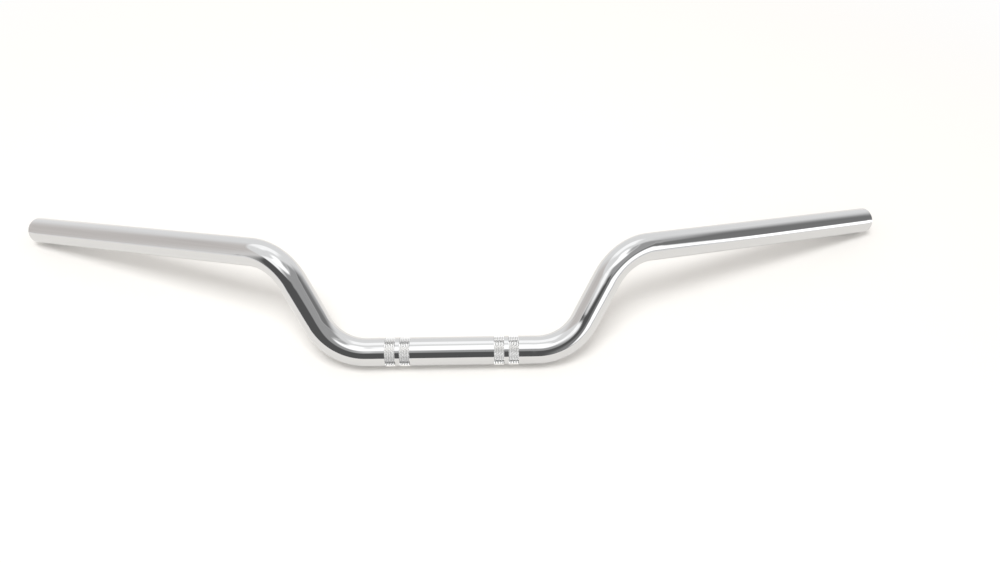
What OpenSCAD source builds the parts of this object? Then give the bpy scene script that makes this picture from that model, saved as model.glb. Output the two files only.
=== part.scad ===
// Motorcycle handlebar: one bent steel tube with four knurled clamp bands.
// X runs along the bar and Z is up, with the bar lying as it comes to rest on a flat surface:
// on its knurled centre and on the two grip ends, with the bends raised.
// The origin is the middle of the clamp axis.

/* [Tube] */
// Outside diameter of the tube, 7/8 inch
tube_d = 22.2; // [18:0.1:28.6]
// Thickness of the tube's wall
wall = 2; // [1.2:0.1:4]
// Bevel on the outer edge of each cut end
end_bevel = 0.8; // [0.2:0.1:1.1]
// Bevel on the mouth of the bore at each cut end
mouth_bevel = 0.5; // [0.1:0.1:0.8]

/* [Bends] */
// Straight centre stretch between the two lower bends
centre_length = 132; // [116:1:220]
// Radius of every bend, at the middle of the tube
bend_radius = 42; // [36:1:70]
// Angle of the lower bends, from the centre stretch into the risers
riser_bend = 62; // [45:1:75]
// Straight stretch of each riser between its two bends
riser_length = 37.5; // [10:0.5:90]
// Angle of the upper bends, from the risers into the grips
grip_bend = 61; // [45:1:75]
// How far the plane of an upper bend is turned out of that of the lower one
grip_turn = 26.5; // [18:0.5:45]
// Straight stretch of each grip end, from the upper bend to the cut end
grip_length = 235; // [150:1:330]
// How much the radius of the tube and of its bore is drawn in round a bend
bend_draw = 0.03; // [0.02:0.01:0.1]
// Length of the taper from a straight stretch down to a bend
bend_taper = 0.4; // [0.3:0.1:1]

/* [Knurling] */
// Distance between the middles of the two clamp seats
seat_spacing = 84; // [70:1:92]
// Width over the two knurled bands of one clamp seat
seat_width = 19; // [12:0.5:24]
// Plain gap between the two bands of a seat
band_gap = 3.6; // [2:0.1:6]
// Number of diamonds around a band
diamonds_around = 36; // [24:1:44]
// Number of diamonds along a band
diamonds_along = 4; // [2:1:5]
// Height of the diamonds' tips above the tube
tip_height = 0.2; // [0.1:0.05:0.5]
// Depth of the grooves between the diamonds, below the tube's surface
groove_depth = 0.1; // [0.05:0.05:0.3]
// Plain run-out at each side of a band, rolled a little deeper than the grooves
run_out = 0.15; // [0.1:0.05:0.4]

/* [Hidden] */
$fn = 96;

tube_r = tube_d / 2;
bore_r = tube_r - wall;
// The two bevels of a cut end leave a rim between them, also on a thin wall
outer_bevel = min(end_bevel, 0.55 * wall);
inner_bevel = min(mouth_bevel, 0.4 * wall);
rim_r = tube_r - outer_bevel;
band_width = (seat_width - band_gap) / 2;
// The middles of the four bands, measured from the left end of the centre stretch
band_places = [for (side = [-1, 1]) for (half = [-1, 1])
    (centre_length + side * seat_spacing + half * (seat_width - band_width)) / 2];
tip_r = tube_r + tip_height;
groove_r = tube_r - groove_depth;
// The rolled floor lies this far under the flat facets of the grooves
floor_clearance = 0.05;
floor_r = groove_r * cos(90 / diamonds_around) - floor_clearance;
// A bend reaches this far inside the straights that it joins
bend_lap = 1.5 * bend_taper;
// A cutter reaches this far past what it cuts
past = 1;

// A vector turned about the x axis, and about the z axis
function turned_x(v, a) = [v.x, v.y * cos(a) - v.z * sin(a), v.y * sin(a) + v.z * cos(a)];
function turned_z(v, a) = [v.x * cos(a) - v.y * sin(a), v.x * sin(a) + v.y * cos(a), v.z];
// Where a bend from the origin ends, and a point that is given from there
function bend_end(a) = bend_radius * [sin(a), 1 - cos(a), 0];
function past_bend(v, a) = turned_z(v, a) + bend_end(a);

// The second bend turns back, so that the grips run outwards again
upper_turn = grip_turn - 180;
along_x = [1, 0, 0];
// Middle of the right cut end and the grip's direction, with the riser still in the xy plane
end_from_riser = turned_x(past_bend(grip_length * along_x, grip_bend), upper_turn)
    + riser_length * along_x;
flat_end = past_bend(end_from_riser, riser_bend) + centre_length / 2 * along_x;
flat_grip = turned_z(turned_x(turned_z(along_x, grip_bend), upper_turn), riser_bend);

// The bar is rolled about the clamp axis until its cut ends touch the surface that the knurled
// bands lie on. Each touches it with the outer edge of its bevel.
end_reach = norm([flat_end.y, flat_end.z]);
end_azimuth = atan2(flat_end.z, flat_end.y);
function end_drop(slope) = tube_r * sqrt(1 - slope * slope) + outer_bevel * slope;
function resting_roll(roll, steps) = steps == 0
    ? roll
    : let (drop = end_drop(turned_x(flat_grip, roll).z))
        resting_roll(asin((drop - tip_r) / end_reach) - end_azimuth, steps - 1);
lie_roll = resting_roll(45, 12);

// A solid turned about the x axis, from its outline as [distance along x, radius] points
module turned_along_x(outline) {
    rotate([0, 90, 0])
        rotate_extrude()
            polygon([for (p = outline) [p[1], p[0]]]);
}

// The ends of a straight stretch's outline, where a bend follows
function taper_in(radius) = [[0, 0], [0, radius - 2 * bend_draw], [bend_taper, radius]];
function taper_out(radius, length) =
    [[length - bend_taper, radius], [length, radius - 2 * bend_draw], [length, 0]];

// A straight rod along +x between two bends
module rod(radius, length) {
    turned_along_x(concat(taper_in(radius), taper_out(radius, length)));
}

// One bend of a rod, from the origin along +x and turning towards +y
module bend(radius, angle) {
    lap_angle = bend_lap / bend_radius * 180 / PI;
    translate([0, bend_radius, 0])
        rotate([0, 0, -90 - lap_angle])
            rotate_extrude(angle = angle + 2 * lap_angle)
                translate([bend_radius, 0])
                    circle(r = radius - bend_draw);
}

// Carries what follows past a bend
module after_bend(angle) {
    translate(bend_end(angle))
        rotate([0, 0, angle])
            children();
}

// The right half past the centre stretch: lower bend, riser, upper bend, and then the grip,
// which is the child
module arm(radius) {
    translate([centre_length / 2, 0, 0]) {
        bend(radius, riser_bend);
        after_bend(riser_bend) {
            rod(radius, riser_length);
            translate([riser_length, 0, 0])
                rotate([upper_turn, 0, 0]) {
                    bend(radius, grip_bend);
                    after_bend(grip_bend)
                        children();
                }
        }
    }
}

// Both arms, laid down to rest
module both_arms(radius) {
    rotate([lie_roll, 0, 0])
        for (side = [0, 1])
            mirror([side, 0, 0])
                arm(radius)
                    children();
}

// A grip end on the outside, bevelled at the cut
module grip_outside() {
    turned_along_x(concat(taper_in(tube_r),
        [[grip_length - outer_bevel, tube_r], [grip_length, rim_r], [grip_length, 0]]));
}

// The bore of a grip end, opened out at its mouth
module grip_bore() {
    mouth_r = bore_r + inner_bevel + past;
    turned_along_x(concat(taper_in(bore_r),
        [[grip_length - inner_bevel, bore_r], [grip_length + past, mouth_r],
        [grip_length + past, 0]]));
}

// The centre stretch, rolled down to a plain floor where the knurling goes
module centre_outside() {
    half = band_width / 2 + run_out;
    floors = [for (place = band_places) each
        [[place - half, tube_r], [place - half, floor_r],
        [place + half, floor_r], [place + half, tube_r]]];
    turned_along_x(concat(taper_in(tube_r), floors, taper_out(tube_r, centre_length)));
}

// A knurled band about the x axis, as a drum of tips and grooves.
// Its grid has two steps a diamond each way, and tips and grooves take turns on it.
// Each square of the grid is split along its groove.
module knurled_band() {
    around = 2 * diamonds_around;
    along = 2 * diamonds_along;
    function at(i, j) = j * around + i % around;
    function height(i, j) = (i + j) % 2 == 0 ? groove_r : tip_r;
    rings = [for (j = [0:along]) for (i = [0:around - 1])
        let (a = 360 * i / around, r = height(i, j))
            [band_width * (j / along - 0.5), -r * sin(a), -r * cos(a)]];
    points = concat(rings, [[-band_width / 2, 0, 0], [band_width / 2, 0, 0]]);
    near = len(points) - 2;
    far = len(points) - 1;
    skin = [for (j = [0:along - 1]) for (i = [0:around - 1])
        let (a = at(i, j), b = at(i + 1, j), c = at(i + 1, j + 1), d = at(i, j + 1))
            each (i + j) % 2 == 0 ? [[a, b, c], [a, c, d]] : [[a, b, d], [b, c, d]]];
    caps = [for (i = [0:around - 1])
        each [[near, at(i + 1, 0), at(i, 0)], [far, at(i, along), at(i + 1, along)]]];
    polyhedron(points = points, faces = concat(skin, caps));
}

module handlebar() {
    color("silver")
        difference() {
            union() {
                translate([-centre_length / 2, 0, 0]) {
                    centre_outside();
                    for (place = band_places)
                        translate([place, 0, 0])
                            knurled_band();
                }
                both_arms(tube_r)
                    grip_outside();
            }
            translate([-centre_length / 2, 0, 0])
                rod(bore_r, centre_length);
            both_arms(bore_r)
                grip_bore();
        }
}

handlebar();
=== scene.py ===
from math import asin, atan2, degrees, hypot, pi, radians, sqrt

import bpy
import numpy as np
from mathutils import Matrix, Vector


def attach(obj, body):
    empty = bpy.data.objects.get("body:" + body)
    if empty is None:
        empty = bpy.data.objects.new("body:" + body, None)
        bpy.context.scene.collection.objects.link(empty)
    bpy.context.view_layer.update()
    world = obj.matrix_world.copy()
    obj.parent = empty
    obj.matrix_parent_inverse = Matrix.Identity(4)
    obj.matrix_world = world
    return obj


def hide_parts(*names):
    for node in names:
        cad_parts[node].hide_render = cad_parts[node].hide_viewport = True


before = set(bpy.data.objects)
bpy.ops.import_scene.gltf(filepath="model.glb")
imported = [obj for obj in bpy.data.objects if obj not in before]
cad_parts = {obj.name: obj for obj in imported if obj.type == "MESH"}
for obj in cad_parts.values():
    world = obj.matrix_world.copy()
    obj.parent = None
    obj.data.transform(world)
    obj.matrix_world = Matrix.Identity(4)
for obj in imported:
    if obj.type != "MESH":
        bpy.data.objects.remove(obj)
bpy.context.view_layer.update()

millimetre = 0.001

# Sizes are in millimetres and degrees. The tube's are the same as in the part's source.
tube = {
    "radius": 11.1,
    "wall": 2.0,
    "centreLength": 132.0,
    "bendRadius": 42.0,
    "riserBend": 62.0,
    "riserLength": 37.5,
    "gripBend": 61.0,
    "gripTurn": 26.5,
    "gripLength": 235.0,
    "drawIn": 0.072,        # how much thinner the outside is round a bend
    "boreDrawIn": 0.03,     # and how much narrower the bore is there
    "drawInRun": 6.0,       # the length over which that comes about
    "drawInRings": 5,
    "outerBevel": 0.8,
    "mouthBevel": 0.5,
    "edgeEase": 0.14,       # rounding of the bevels' edges
    "columns": 120,         # steps around, two to a diamond
    "bendStep": 1.4,        # longest step between rings in a bend
    "straightStep": 9.0,    # and on a straight
    "boreCentreRings": 9,
    "sharpAngle": 19.0,     # edges steeper than this stay sharp in the shading
}
# Finer and deeper than the knurling in the part's source, with its tips at the same height.
knurling = {
    "seatSpacing": 84.0,
    "seatWidth": 19.0,
    "bandGap": 3.6,
    "diamondsAround": 60,
    "diamondsAlong": 3,
    "tipHeight": 0.2,
    "grooveDepth": 0.34,
    "runOut": 0.15,
    "floorDepth": 0.38,     # of the rolled floor at each side of a band
    "wallRun": 0.02,
    "clearRun": 0.05,       # no other ring comes this near to a band
}


# Middle line of the right half, as straights and arcs. An arc turns the frame (tangent, first
# normal, second normal) about the axis that is square to its plane. A straight carries the frame
# along. Each starts where the last one ended.
def barSegments(size):
    clampAxis = np.array([1.0, 0, 0])
    rollNormal = turnAbout(clampAxis, size["lieRoll"]) @ np.array([0, 1.0, 0])
    segments = []

    def add(kind, length, start, tangent, first, second, toward=None):
        segments.append(dict(kind=kind, length=length, start=start, tangent=tangent,
                             first=first, second=second, toward=toward))
        place, turned = evaluateSegment(segments[-1], np.array([length]), size["bendRadius"])
        return place[0], turned[0][0], turned[1][0], turned[2][0]

    start = np.zeros(3)
    tangent, first, second = clampAxis, np.array([0, 0, -1.0]), np.array([0, -1.0, 0])
    state = add("straight", size["centreLength"] / 2, start, tangent, first, second)
    state = add("arc", size["bendRadius"] * radians(size["riserBend"]), *state, rollNormal)
    inward = turnAbout(np.cross(clampAxis, rollNormal), size["riserBend"]) @ rollNormal
    state = add("straight", size["riserLength"], *state)
    # the upper bend turns back, in a plane that is turned about the riser
    upper = turnAbout(state[1], size["gripTurn"] - 180) @ inward
    state = add("arc", size["bendRadius"] * radians(size["gripBend"]), *state, upper)
    add("straight", size["gripLength"], *state)
    return segments


# A turn by an angle in degrees about a unit axis: cos I + sin [axis]x + (1 - cos) axis axis.
def turnAbout(axis, angle):
    x, y, z = axis
    cross = np.array([[0, -z, y], [z, 0, -x], [-y, x, 0]])
    c, s = np.cos(radians(angle)), np.sin(radians(angle))
    return c * np.eye(3) + s * cross + (1 - c) * np.outer(axis, axis)


# Straight: start + s tangent. Arc: start + R sin(s/R) tangent + R (1 - cos(s/R)) toward, with the
# frame turned by s/R about tangent x toward.
def evaluateSegment(segment, along, bendRadius):
    frameVectors = [segment["tangent"], segment["first"], segment["second"]]
    if segment["kind"] == "straight":
        place = segment["start"] + along[:, None] * segment["tangent"]
        return place, [np.repeat(v[None], len(along), 0) for v in frameVectors]
    axis = np.cross(segment["tangent"], segment["toward"])
    angle = along / bendRadius
    c, s = np.cos(angle)[:, None], np.sin(angle)[:, None]
    place = segment["start"] + bendRadius * (s * segment["tangent"] + (1 - c) * segment["toward"])
    turned = [c * v + s * np.cross(axis, v) + (1 - c) * axis * (axis @ v) for v in frameVectors]
    return place, turned


# Place and normals at distance s from the middle of the bar, negative on the left. The left half
# is the right one mirrored through the plane x = 0.
def barFrame(s, size):
    distance = np.abs(s)
    place, first, second = (np.zeros((len(s), 3)) for _ in range(3))
    begin = 0.0
    for index, segment in enumerate(size["segments"]):
        last = index == len(size["segments"]) - 1
        inside = (distance >= begin) & ((distance < begin + segment["length"]) | last)
        spot, turned = evaluateSegment(segment, distance[inside] - begin, size["bendRadius"])
        place[inside], first[inside], second[inside] = spot, turned[1], turned[2]
        begin += segment["length"]
    mirror = np.where(s < 0, -1.0, 1.0)
    for vectors in (place, first, second):
        vectors[:, 0] *= mirror
    return place, first, second


# The bar is rolled about the clamp axis until the outer edges of the bevels are as low as the
# tips of the knurling: sin(roll + azimuth of the end) = (drop of the end - tip radius) / reach.
# The drop depends on the roll, so the roll is worked out again a few times.
def restingRoll(size, pattern, guess=45.0, rounds=12):
    lastSegment = barSegments(dict(size, lieRoll=0.0))[-1]
    end = lastSegment["start"] + size["gripLength"] * lastSegment["tangent"]
    reach, azimuth = hypot(end[1], end[2]), degrees(atan2(end[2], end[1]))
    roll = guess
    for _ in range(rounds):
        slope = (turnAbout(np.array([1.0, 0, 0]), roll) @ lastSegment["tangent"])[2]
        drop = size["radius"] * sqrt(1 - slope ** 2) + size["outerBevel"] * slope
        roll = degrees(asin((drop - size["radius"] - pattern["tipHeight"]) / reach)) - azimuth
    return roll


tube["lieRoll"] = restingRoll(tube, knurling)
tube["segments"] = barSegments(tube)
tube["halfLength"] = sum(segment["length"] for segment in tube["segments"])
print(f"middle line: {2 * tube['halfLength']:.1f} mm long, "
      f"rolled {tube['lieRoll']:.3f} degrees to rest")


# Corners of an outline, each replaced by a parabola from ease before it to ease after it:
# (1 - t)^2 a + 2 t (1 - t) corner + t^2 b. The first and last corners only give directions.
def easedOutline(corners, ease, steps=5):
    corners = np.array(corners, float)
    before, corner, after = corners[:-2], corners[1:-1], corners[2:]
    toBefore = (before - corner) / np.linalg.norm(before - corner, axis=1)[:, None]
    toAfter = (after - corner) / np.linalg.norm(after - corner, axis=1)[:, None]
    t = np.linspace(0, 1, steps)[None, :, None]
    a, b = (corner + ease * toBefore)[:, None], (corner + ease * toAfter)[:, None]
    return ((1 - t) ** 2 * a + 2 * t * (1 - t) * corner[:, None] + t ** 2 * b).reshape(-1, 2)


# Width of one band: half of what the gap leaves of a clamp seat.
def widthOfBand(pattern):
    return (pattern["seatWidth"] - pattern["bandGap"]) / 2


# Middles of the right seat's two bands: half the seats' spacing, less and more the same offset.
def bandMiddles(pattern):
    offset = (pattern["seatWidth"] - widthOfBand(pattern)) / 2
    return [pattern["seatSpacing"] / 2 - offset, pattern["seatSpacing"] / 2 + offset]


# Distances from the middle of the bar at which the outside has a ring, from the left end to the
# right one: close together in the bends and on the bands, far apart on the straights.
def outsideStations(size, pattern):
    bandWidth = widthOfBand(pattern)
    stations = [np.array([0.0])]
    begin = 0.0
    for segment in size["segments"]:
        step = size["bendStep"] if segment["kind"] == "arc" else size["straightStep"]
        count = int(np.ceil(segment["length"] / step))
        stations.append(begin + np.linspace(0, segment["length"], count + 1))
        begin += segment["length"]
    run = size["drawInRun"] * np.linspace(0, 1, size["drawInRings"])
    bendEnds = np.cumsum([segment["length"] for segment in size["segments"]])[:-1]
    stations += [edge + side * run for edge in bendEnds for side in (-1, 1)]
    half = np.concatenate(stations)
    # the last ring stays clear of the bevel
    half = half[half < size["halfLength"] - 1.5 * size["outerBevel"]]
    edge = bandWidth / 2 + pattern["runOut"]
    for middle in bandMiddles(pattern):
        half = half[np.abs(half - middle) > edge + pattern["clearRun"]]
        side = np.array([edge, edge - pattern["wallRun"], bandWidth / 2 + pattern["wallRun"]])
        band = bandWidth * np.linspace(-0.5, 0.5, 2 * pattern["diamondsAlong"] + 1)
        half = np.concatenate([half, middle - side, middle + side, middle + band])
    half = np.unique(np.round(half, 5))
    return np.concatenate([-half[:0:-1], half])


# 0 on the straights and 1 round the bends, with a smooth step 3 t^2 - 2 t^3 on each side.
def bendShare(s, size):
    distance, begin, share = np.abs(s), 0.0, np.zeros(len(s))
    for segment in size["segments"]:
        if segment["kind"] == "arc":
            outside = np.maximum(begin - distance, distance - begin - segment["length"])
            t = np.clip(1 - outside / size["drawInRun"], 0, 1)
            share = np.maximum(share, 3 * t ** 2 - 2 * t ** 3)
        begin += segment["length"]
    return share


# Height of the diamonds over the tube, on a grid with two steps a diamond (u around, v along).
# Grooves run where u + v or u - v is even, and a pyramid stands in each field between them:
# groove + (tip - groove) min(saw(u + v), saw(u - v)).
def diamondHeight(u, v, pattern):
    saw = lambda w: 1 - np.abs(np.mod(w, 2) - 1)
    rise = np.minimum(saw(u + v), saw(u - v))
    return -pattern["grooveDepth"] + (pattern["tipHeight"] + pattern["grooveDepth"]) * rise


# Rings of the whole closed skin: the outside from left to right, round the right rim, back
# through the bore, and round the left rim. Each ring is (distance along the bar, radius, kind).
def skinRings(size, pattern):
    outside = outsideStations(size, pattern)
    radius, bore, end = size["radius"], size["radius"] - size["wall"], size["halfLength"]
    outsideRadius = radius - size["drawIn"] * bendShare(outside, size)
    lead = 3 * size["outerBevel"]
    rim = easedOutline([
        (end - lead, radius),
        (end - size["outerBevel"], radius),
        (end, radius - size["outerBevel"]),
        (end, bore + size["mouthBevel"]),
        (end - size["mouthBevel"], bore),
        (end - lead, bore)], size["edgeEase"])
    # the bore has every second ring of the outside, and a few of its own in the centre stretch
    centre = size["centreLength"]
    boreStations = np.concatenate([
        outside[np.abs(outside) > centre / 2][::-2],
        centre * np.linspace(-0.4, 0.4, size["boreCentreRings"])])
    boreStations = np.sort(boreStations[np.abs(boreStations) < rim[:, 0].min() - 1])[::-1]
    boreRadius = bore - size["boreDrawIn"] * bendShare(boreStations, size)
    parts = [(outside, outsideRadius), (rim[:, 0], rim[:, 1]), (boreStations, boreRadius),
             (-rim[::-1, 0], rim[::-1, 1])]
    kind = np.concatenate([np.full(len(part[0]), index) for index, part in enumerate(parts)])
    return (np.concatenate([part[0] for part in parts]),
            np.concatenate([part[1] for part in parts]), kind)


# Every ring of radius r at distance s: place(s) + r (cos a first(s) + sin a second(s)), with the
# diamonds' height added to r on the bands.
def skinPoints(size, pattern):
    s, radius, kind = skinRings(size, pattern)
    columns = size["columns"]
    angle = 2 * pi * np.arange(columns) / columns
    place, first, second = barFrame(s, size)
    radii = np.repeat(radius[:, None], columns, 1)
    bandWidth = widthOfBand(pattern)
    alongSteps = 2 * pattern["diamondsAlong"]
    tiny = 0.001
    onBand = np.zeros(len(s), bool)
    u = 2 * pattern["diamondsAround"] * np.arange(columns) / columns
    for middle in bandMiddles(pattern):
        for signed in (-middle, middle):
            v = (s - signed + bandWidth / 2) / bandWidth * alongSteps
            inside = (kind == 0) & (v > -tiny) & (v < alongSteps + tiny)
            radii[inside] = size["radius"] + diamondHeight(u[None], v[inside, None], pattern)
            onBand |= inside
            # the inner two rings of the run-out lie on its floor, and the outer one on the tube
            floorEdge = bandWidth / 2 + pattern["runOut"] - pattern["wallRun"] / 2
            sunk = (kind == 0) & ~inside & (np.abs(s - signed) < floorEdge)
            radii[sunk] = size["radius"] - pattern["floorDepth"]
    ring = (np.cos(angle)[None, :, None] * first[:, None]
            + np.sin(angle)[None, :, None] * second[:, None])
    return place[:, None] + radii[..., None] * ring, s, kind, onBand


# Squares between neighbouring rings and columns, closed both ways. A square on a band is two
# triangles, split along the groove that crosses it.
def skinFaces(rows, columns, onBand):
    row, column = np.meshgrid(np.arange(rows), np.arange(columns), indexing="ij")
    nextRow, nextColumn = (row + 1) % rows, (column + 1) % columns
    corners = np.stack([row * columns + column, nextRow * columns + column,
                        nextRow * columns + nextColumn, row * columns + nextColumn], -1)
    # step is the number of rings since the first one of the band
    counter = np.cumsum(onBand) - 1
    bandStart = onBand & ~np.roll(onBand, 1)
    step = counter - np.maximum.accumulate(np.where(bandStart, counter, 0))
    split = np.repeat((onBand & np.roll(onBand, -1))[:, None], columns, 1)
    rising = np.mod(column + step[:, None], 2) == 0
    upward, downward = split & rising, split & ~rising
    triangles = np.concatenate([
        corners[upward][:, [0, 1, 2]], corners[upward][:, [0, 2, 3]],
        corners[downward][:, [0, 1, 3]], corners[downward][:, [1, 2, 3]]])
    columnOf = {"squares": column[~split], "upward": column[upward], "downward": column[downward]}
    rowOf = {"squares": row[~split], "upward": row[upward], "downward": row[downward]}
    return corners[~split], triangles, columnOf, rowOf


# Map of the skin: across is the turn around the tube, from 0 to 1, and along is the distance
# along the bar in turns of its girth, so the pattern has one scale both ways.
def skinMap(s, size, columnOf, rowOf):
    rows, columns = len(s), size["columns"]
    along = s / (2 * pi * size["radius"])

    def cornerMap(name, order):
        column, row = columnOf[name], rowOf[name]
        across = np.stack([column, column, column + 1, column + 1], -1)[:, order] / columns
        here, there = along[row], along[(row + 1) % rows]
        up = np.stack([here, there, there, here], -1)
        return np.stack([across, up[:, order]], -1).reshape(-1, 2)

    return np.concatenate([
        cornerMap("squares", [0, 1, 2, 3]),
        cornerMap("upward", [0, 1, 2]), cornerMap("upward", [0, 2, 3]),
        cornerMap("downward", [0, 1, 3]), cornerMap("downward", [1, 2, 3])])


# The skin as one mesh, in metres: squares first and then the bands' triangles.
def buildHandlebar(size, pattern, materials):
    points, s, kind, onBand = skinPoints(size, pattern)
    rows, columns = points.shape[:2]
    squares, triangles, columnOf, rowOf = skinFaces(rows, columns, onBand)
    mesh = bpy.data.meshes.new("bentTube")
    mesh.vertices.add(rows * columns)
    mesh.vertices.foreach_set("co", (points * millimetre).ravel())
    loops = np.concatenate([squares.ravel(), triangles.ravel()])
    starts = np.concatenate([4 * np.arange(len(squares)),
                             4 * len(squares) + 3 * np.arange(len(triangles))])
    mesh.loops.add(len(loops))
    mesh.loops.foreach_set("vertex_index", loops.astype(np.int32))
    mesh.polygons.add(len(starts))
    mesh.polygons.foreach_set("loop_start", starts.astype(np.int32))
    # material 0 on the outside and the rims, 2 in the bore, and 1 on the bands' triangles
    ringMaterial = np.array([0, 0, 2, 0])[kind]
    faceMaterial = np.concatenate([ringMaterial[rowOf["squares"]], np.ones(len(triangles), int)])
    mesh.polygons.foreach_set("material_index", faceMaterial.astype(np.int32))
    mesh.update(calc_edges=True)
    uvLayer = mesh.uv_layers.new(name="UVMap")
    uvLayer.data.foreach_set("uv", skinMap(s, size, columnOf, rowOf).ravel())
    for material in materials:
        mesh.materials.append(material)
    mesh.polygons.foreach_set("use_smooth", np.ones(len(starts), bool))
    mesh.set_sharp_from_angle(angle=radians(size["sharpAngle"]))
    mesh.validate()
    piece = bpy.data.objects.new("bentTube", mesh)
    bpy.context.scene.collection.objects.link(piece)
    print(f"bent tube: {rows} rings of {columns}, {2 * len(squares) + len(triangles)} triangles")
    return piece


# A node with its sockets set: a socket of another node is linked, and anything else is a value.
def addNode(tree, kind, inputs=None, **settings):
    node = tree.nodes.new(kind)
    for name, value in settings.items():
        setattr(node, name, value)
    for socket, value in (inputs or {}).items():
        if isinstance(value, bpy.types.NodeSocket):
            tree.links.new(value, node.inputs[socket])
        else:
            node.inputs[socket].default_value = value
    return node


# One step of arithmetic on values or sockets.
def mathNode(tree, operation, *values):
    return addNode(tree, "ShaderNodeMath", dict(enumerate(values)), operation=operation).outputs[0]


# A value from 0 to 1 turned into one between low and high: low + value (high - low).
def between(tree, value, low, high):
    return addNode(tree, "ShaderNodeMapRange", {
        "Value": value, "To Min": low, "To Max": high}).outputs["Result"]


# Noise from 0 to 1 over a vector, which stretch scales along each of its axes first.
def noise(tree, vector, scale, detail, stretch=None):
    if stretch:
        vector = addNode(tree, "ShaderNodeMapping", {
            "Vector": vector, "Scale": stretch}).outputs[0]
    return addNode(tree, "ShaderNodeTexNoise", {
        "Vector": vector, "Scale": scale, "Detail": detail}).outputs["Fac"]


# The normal tilted by the slope of a height, of which 1 is as high as distance, in metres.
def bumped(tree, height, strength, distance, normal=None):
    inputs = {"Height": height, "Strength": strength, "Distance": distance}
    if normal:
        inputs["Normal"] = normal
    return addNode(tree, "ShaderNodeBump", inputs).outputs["Normal"]


def newMaterial(name):
    material = bpy.data.materials.new(name)
    material.use_nodes = True
    material.node_tree.nodes.clear()
    return material, material.node_tree


# A metal from its colour, share of metal, roughness and normal.
def finishMetal(tree, colour, metallic, roughness, normal):
    shader = addNode(tree, "ShaderNodeBsdfPrincipled", {
        "Base Color": colour, "Metallic": metallic, "Roughness": roughness, "Normal": normal})
    addNode(tree, "ShaderNodeOutputMaterial", {"Surface": shader.outputs[0]})


# Bright plate: mirror chrome whose polish varies in soft patches, with very fine polishing lines
# around the tube and a slight waviness of the tube under the plate.
def polishedChrome():
    look = {"tone": (0.665, 0.668, 0.672, 1), "roughLow": 0.018, "roughHigh": 0.06,
            "patchScale": 26.0, "lineStretch": (2.0, 240.0, 1.0), "lineStrength": 0.012,
            "lineHeight": 0.0001, "waveScale": 34.0, "waveStrength": 0.05, "waveHeight": 0.0006}
    material, tree = newMaterial("polishedChrome")
    uv = addNode(tree, "ShaderNodeUVMap", uv_map="UVMap").outputs["UV"]
    solid = addNode(tree, "ShaderNodeTexCoord").outputs["Object"]
    patches = noise(tree, solid, look["patchScale"], 4.0)
    lines = noise(tree, uv, 1.0, 5.0, look["lineStretch"])
    waves = noise(tree, solid, look["waveScale"], 1.0)
    lined = bumped(tree, lines, look["lineStrength"], look["lineHeight"])
    wavy = bumped(tree, waves, look["waveStrength"], look["waveHeight"], lined)
    roughness = between(tree, patches, look["roughLow"], look["roughHigh"])
    finishMetal(tree, look["tone"], 1.0, roughness, wavy)
    return material


# The bands keep the satin of the knurling wheel: less clear and a little grained. Their tone, much
# brighter than the plate's, is painted sheen for the glints the facets catch.
def knurledChromePaintedSheen():
    # the tone is painted sheen: far brighter than the plate's chrome, it stands in for glints on
    # the knurling
    look = {"tone": (0.93, 0.93, 0.925, 1), "roughLow": 0.10, "roughHigh": 0.18,
            "grainScale": 1500.0, "grainStrength": 0.12, "grainHeight": 0.00005}
    material, tree = newMaterial("knurledChromePaintedSheen")
    solid = addNode(tree, "ShaderNodeTexCoord").outputs["Object"]
    grain = noise(tree, solid, look["grainScale"], 3.0)
    normal = bumped(tree, grain, look["grainStrength"], look["grainHeight"])
    roughness = between(tree, grain, look["roughLow"], look["roughHigh"])
    finishMetal(tree, look["tone"], 1.0, roughness, normal)
    return material


# Drawn steel inside the tube, which the plate hardly reaches: grey, streaked along the bore.
def boreSteel():
    look = {"pale": (0.42, 0.41, 0.39, 1), "deep": (0.20, 0.185, 0.17, 1),
            "deepUpTo": 0.12, "paleFrom": 0.42, "metallic": 0.9,
            "roughLow": 0.35, "roughHigh": 0.6, "stainScale": 90.0,
            "streakStretch": (38.0, 1.6, 1.0), "streakStrength": 0.25, "streakHeight": 0.0001}
    material, tree = newMaterial("boreSteel")
    uv = addNode(tree, "ShaderNodeUVMap", uv_map="UVMap").outputs["UV"]
    solid = addNode(tree, "ShaderNodeTexCoord").outputs["Object"]
    streaks = noise(tree, uv, 1.0, 6.0, look["streakStretch"])
    stains = noise(tree, solid, look["stainScale"], 5.0)
    colours = addNode(tree, "ShaderNodeValToRGB", {
        "Fac": mathNode(tree, "MULTIPLY", streaks, stains)})
    deep, pale = colours.color_ramp.elements
    deep.position, deep.color = look["deepUpTo"], look["deep"]
    pale.position, pale.color = look["paleFrom"], look["pale"]
    normal = bumped(tree, streaks, look["streakStrength"], look["streakHeight"])
    roughness = between(tree, stains, look["roughLow"], look["roughHigh"])
    finishMetal(tree, colours.outputs["Color"], look["metallic"], roughness, normal)
    return material


handlebar = buildHandlebar(tube, knurling, [polishedChrome(), knurledChromePaintedSheen(), boreSteel()])
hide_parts("handlebar")
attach(handlebar, "root")


studio = {
    "floorSize": 9.0,
    "floorTone": (0.93, 0.926, 0.905, 1),
    "floorGlow": 0.055,         # added where the camera or a reflection sees the floor
    "glowColour": (1, 1, 0.99, 1),
    "fadeFrom": 0.46,           # the floor turns to plain white between these distances, in metres
    "fadeTo": 1.0,
    "dayTone": 0.68,            # even light from all round, as matt surfaces get it
    "dayColour": (1.0, 0.96, 0.93, 1),
    "lampPlace": (-0.15, -0.25, 2.0),
    "lampSize": 0.8,
    "lampPower": 20.0,
    "cameraPlace": (0.0274425, -0.3208271, 0.4669589),
    "cameraTurn": (39.935734, -0.314924, -1.286193),
    "lens": 26.0,
    "sensorWidth": 36.0,
    "nearest": 0.01,
}
white = (1, 1, 1, 1)


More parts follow.
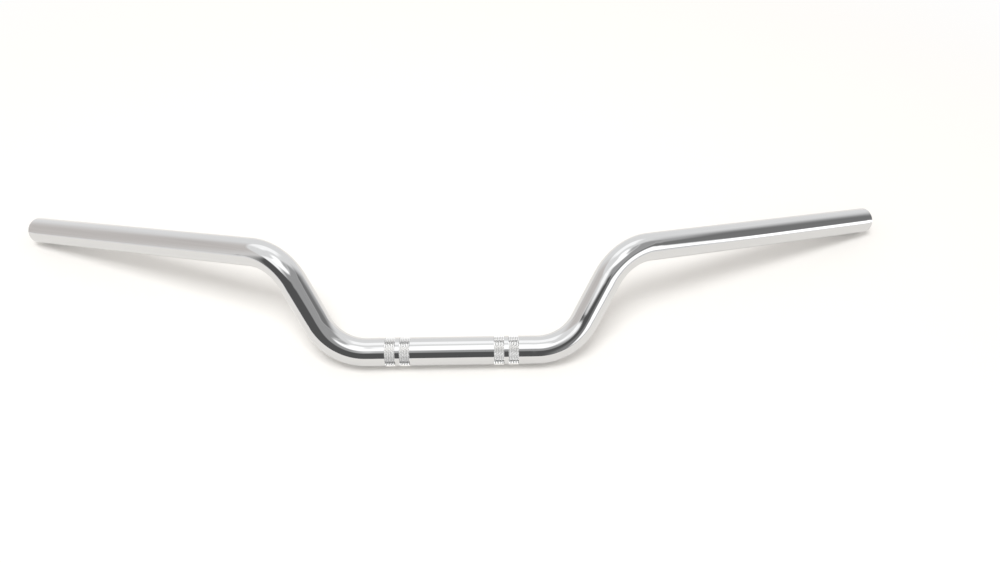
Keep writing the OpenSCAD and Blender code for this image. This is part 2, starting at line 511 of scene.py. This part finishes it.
# 1 for what the camera, a mirror or a glass sees, and 0 for the light on matt surfaces.
def seenDirectly(tree):
    path = addNode(tree, "ShaderNodeLightPath").outputs
    seen = mathNode(tree, "MAXIMUM", path["Is Camera Ray"], path["Is Glossy Ray"])
    return mathNode(tree, "MAXIMUM", seen, path["Is Transmission Ray"])


# A matt pale floor that takes the bar's shadow. Its glow lifts it to white where it is seen, and
# far from the bar it is plain white, so that it has no edge against the background.
def buildFloor(look, level):
    half = look["floorSize"] / 2
    mesh = bpy.data.meshes.new("floor")
    mesh.from_pydata([(-half, -half, level), (half, -half, level), (half, half, level),
                      (-half, half, level)], [], [(0, 1, 2, 3)])
    material, tree = newMaterial("paleFloor")
    matt = addNode(tree, "ShaderNodeBsdfDiffuse", {"Color": look["floorTone"]})
    seen = seenDirectly(tree)
    glow = addNode(tree, "ShaderNodeEmission", {
        "Color": look["glowColour"],
        "Strength": mathNode(tree, "MULTIPLY", seen, look["floorGlow"])})
    near = addNode(tree, "ShaderNodeAddShader", {0: matt.outputs[0], 1: glow.outputs[0]})
    far = addNode(tree, "ShaderNodeEmission", {"Color": white, "Strength": seen})
    place = addNode(tree, "ShaderNodeTexCoord").outputs["Object"]
    distance = addNode(tree, "ShaderNodeVectorMath", {0: place}, operation="LENGTH")
    share = addNode(tree, "ShaderNodeMapRange", {
        "Value": distance.outputs["Value"],
        "From Min": look["fadeFrom"], "From Max": look["fadeTo"]},
        interpolation_type="SMOOTHSTEP").outputs["Result"]
    both = addNode(tree, "ShaderNodeMixShader", {0: share, 1: near.outputs[0], 2: far.outputs[0]})
    addNode(tree, "ShaderNodeOutputMaterial", {"Surface": both.outputs[0]})
    mesh.materials.append(material)
    floor = bpy.data.objects.new("floor", mesh)
    bpy.context.scene.collection.objects.link(floor)


# The room as the chrome mirrors it: pale all round, with a few plain panels in it, each painted
# over the ones before. A panel has its middle, its half size and the softness of its edges, all as
# (azimuth from +Y towards +X, elevation) in degrees, and one tone.
room = {
    "paleTone": 1.0,
    "streaks": 0.1,             # how far faint level streaks lift and lower every tone
    "streakStretch": (0.02, 0.22, 1.0),
    "warmTint": (1.0, 0.95, 0.92, 1),
    "leftWall": {"middle": (-85, -25), "half": (30, 67), "soft": (20, 3), "tone": 0.75},
    "panels": [
        # a dark screen on the right, a low shelf before it and the shade above it
        {"middle": (120, -25), "half": (60, 65), "soft": (20, 4), "tone": 0.25},
        {"middle": (110, -35), "half": (50, 47), "soft": (10, 5), "tone": 0.5},
        {"middle": (130, 52), "half": (65, 13), "soft": (12, 4), "tone": 0.45},
        # the dark side of the room, where the camera stands
        {"middle": (-155, -22), "half": (35, 67), "soft": (5, 3), "tone": 0.12},
        # high lamps on the left and on the far side
        {"middle": (-135, 55), "half": (18, 10), "soft": (5, 4), "tone": 1.4},
        {"middle": (-15, 55), "half": (40, 12), "soft": (12, 4), "tone": 1.4},
        # the ceiling on the right, and over the camera
        {"middle": (90, 80), "half": (30, 14), "soft": (15, 4), "tone": 0.6},
        {"middle": (-175, 80), "half": (50, 17), "soft": (8, 4), "tone": 1.6},
        # a window, a lower one beside it, and a lamp overhead
        {"middle": (135, 16), "half": (24, 13), "soft": (3, 3), "tone": 1.6},
        {"middle": (108, 3), "half": (10, 9), "soft": (3, 3), "tone": 2.2},
        {"middle": (0, 95), "half": (360, 15), "soft": (5, 5), "tone": 1.6},
    ],
}


# Share of a panel in a direction: a smooth step of half - |angle - middle| each way, multiplied.
def panelShare(tree, angles, panel):
    shares = []
    for angle, middle, half, soft in zip(angles, panel["middle"], panel["half"], panel["soft"]):
        offset = mathNode(tree, "SUBTRACT", angle, middle)
        away = mathNode(tree, "ABSOLUTE", mathNode(tree, "WRAP", offset, 180.0, -180.0))
        shares.append(addNode(tree, "ShaderNodeMapRange", {
            "Value": away, "From Min": half + soft, "From Max": half - soft},
            interpolation_type="SMOOTHSTEP").outputs["Result"])
    return mathNode(tree, "MULTIPLY", *shares)


# low where share is 0 and high where it is 1: low + share (high - low).
def blendValues(tree, share, low, high):
    return addNode(tree, "ShaderNodeMix", {"Factor": share, "A": low, "B": high}).outputs["Result"]


# Mirrors see the panels, matt surfaces get even light, and the camera sees white.
def buildRoom(look, room):
    world = bpy.data.worlds.new("paleRoom")
    bpy.context.scene.world = world
    world.use_nodes = True
    tree = world.node_tree
    tree.nodes.clear()
    direction = addNode(tree, "ShaderNodeTexCoord").outputs["Generated"]
    axes = addNode(tree, "ShaderNodeSeparateXYZ", {0: direction}).outputs
    azimuth = mathNode(tree, "DEGREES", mathNode(tree, "ARCTAN2", axes["X"], axes["Y"]))
    elevation = mathNode(tree, "DEGREES", mathNode(tree, "ARCSINE", axes["Z"]))
    angles = (azimuth, elevation)
    onLeftWall = panelShare(tree, angles, room["leftWall"])
    tone = blendValues(tree, onLeftWall, room["paleTone"], room["leftWall"]["tone"])
    for panel in room["panels"]:
        tone = blendValues(tree, panelShare(tree, angles, panel), tone, panel["tone"])
    spot = addNode(tree, "ShaderNodeCombineXYZ", {"X": azimuth, "Y": elevation}).outputs[0]
    streaks = noise(tree, spot, 1.0, 2.0, room["streakStretch"])
    gain = between(tree, streaks, 1 - room["streaks"], 1 + room["streaks"])
    colour = addNode(tree, "ShaderNodeMix", {0: onLeftWall, 6: white, 7: room["warmTint"]},
                     data_type="RGBA").outputs[2]
    mirrored = addNode(tree, "ShaderNodeBackground", {
        "Color": colour, "Strength": mathNode(tree, "MULTIPLY", tone, gain)})
    matt = addNode(tree, "ShaderNodeBackground", {
        "Color": look["dayColour"], "Strength": look["dayTone"]})
    plain = addNode(tree, "ShaderNodeBackground", {"Color": white, "Strength": 1.0})
    path = addNode(tree, "ShaderNodeLightPath").outputs
    mirror = mathNode(tree, "MAXIMUM", path["Is Glossy Ray"], path["Is Transmission Ray"])
    indirect = addNode(tree, "ShaderNodeMixShader", {
        0: mirror, 1: matt.outputs[0], 2: mirrored.outputs[0]})
    both = addNode(tree, "ShaderNodeMixShader", {
        0: path["Is Camera Ray"], 1: indirect.outputs[0], 2: plain.outputs[0]})
    addNode(tree, "ShaderNodeOutputWorld", {"Surface": both.outputs[0]})


# One soft lamp above the bar, a little to the left and to the camera's side. It isn't mirrored,
# because the room's panels are.
def buildLamp(look):
    light = bpy.data.lights.new("softLamp", "AREA")
    light.shape = "SQUARE"
    light.size = look["lampSize"]
    light.energy = look["lampPower"]
    lamp = bpy.data.objects.new("softLamp", light)
    lamp.location = look["lampPlace"]
    lamp.rotation_euler = (-Vector(look["lampPlace"])).to_track_quat("-Z", "Y").to_euler()
    lamp.visible_glossy = False
    lamp.visible_camera = False
    bpy.context.scene.collection.objects.link(lamp)


def buildCamera(look):
    data = bpy.data.cameras.new("camera")
    data.sensor_width = look["sensorWidth"]
    data.sensor_fit = "HORIZONTAL"
    data.lens = look["lens"]
    data.clip_start = look["nearest"]
    camera = bpy.data.objects.new("camera", data)
    camera.location = look["cameraPlace"]
    camera.rotation_euler = [radians(angle) for angle in look["cameraTurn"]]
    bpy.context.scene.collection.objects.link(camera)
    bpy.context.scene.camera = camera


# the floor is as low as the tips of the knurling, which the bar rests on
buildFloor(studio, -(tube["radius"] + knurling["tipHeight"]) * millimetre)
buildRoom(studio, room)
buildLamp(studio)
buildCamera(studio)
bpy.context.scene.view_settings.view_transform = "Standard"
print("floor, room, lamp and camera are in place")
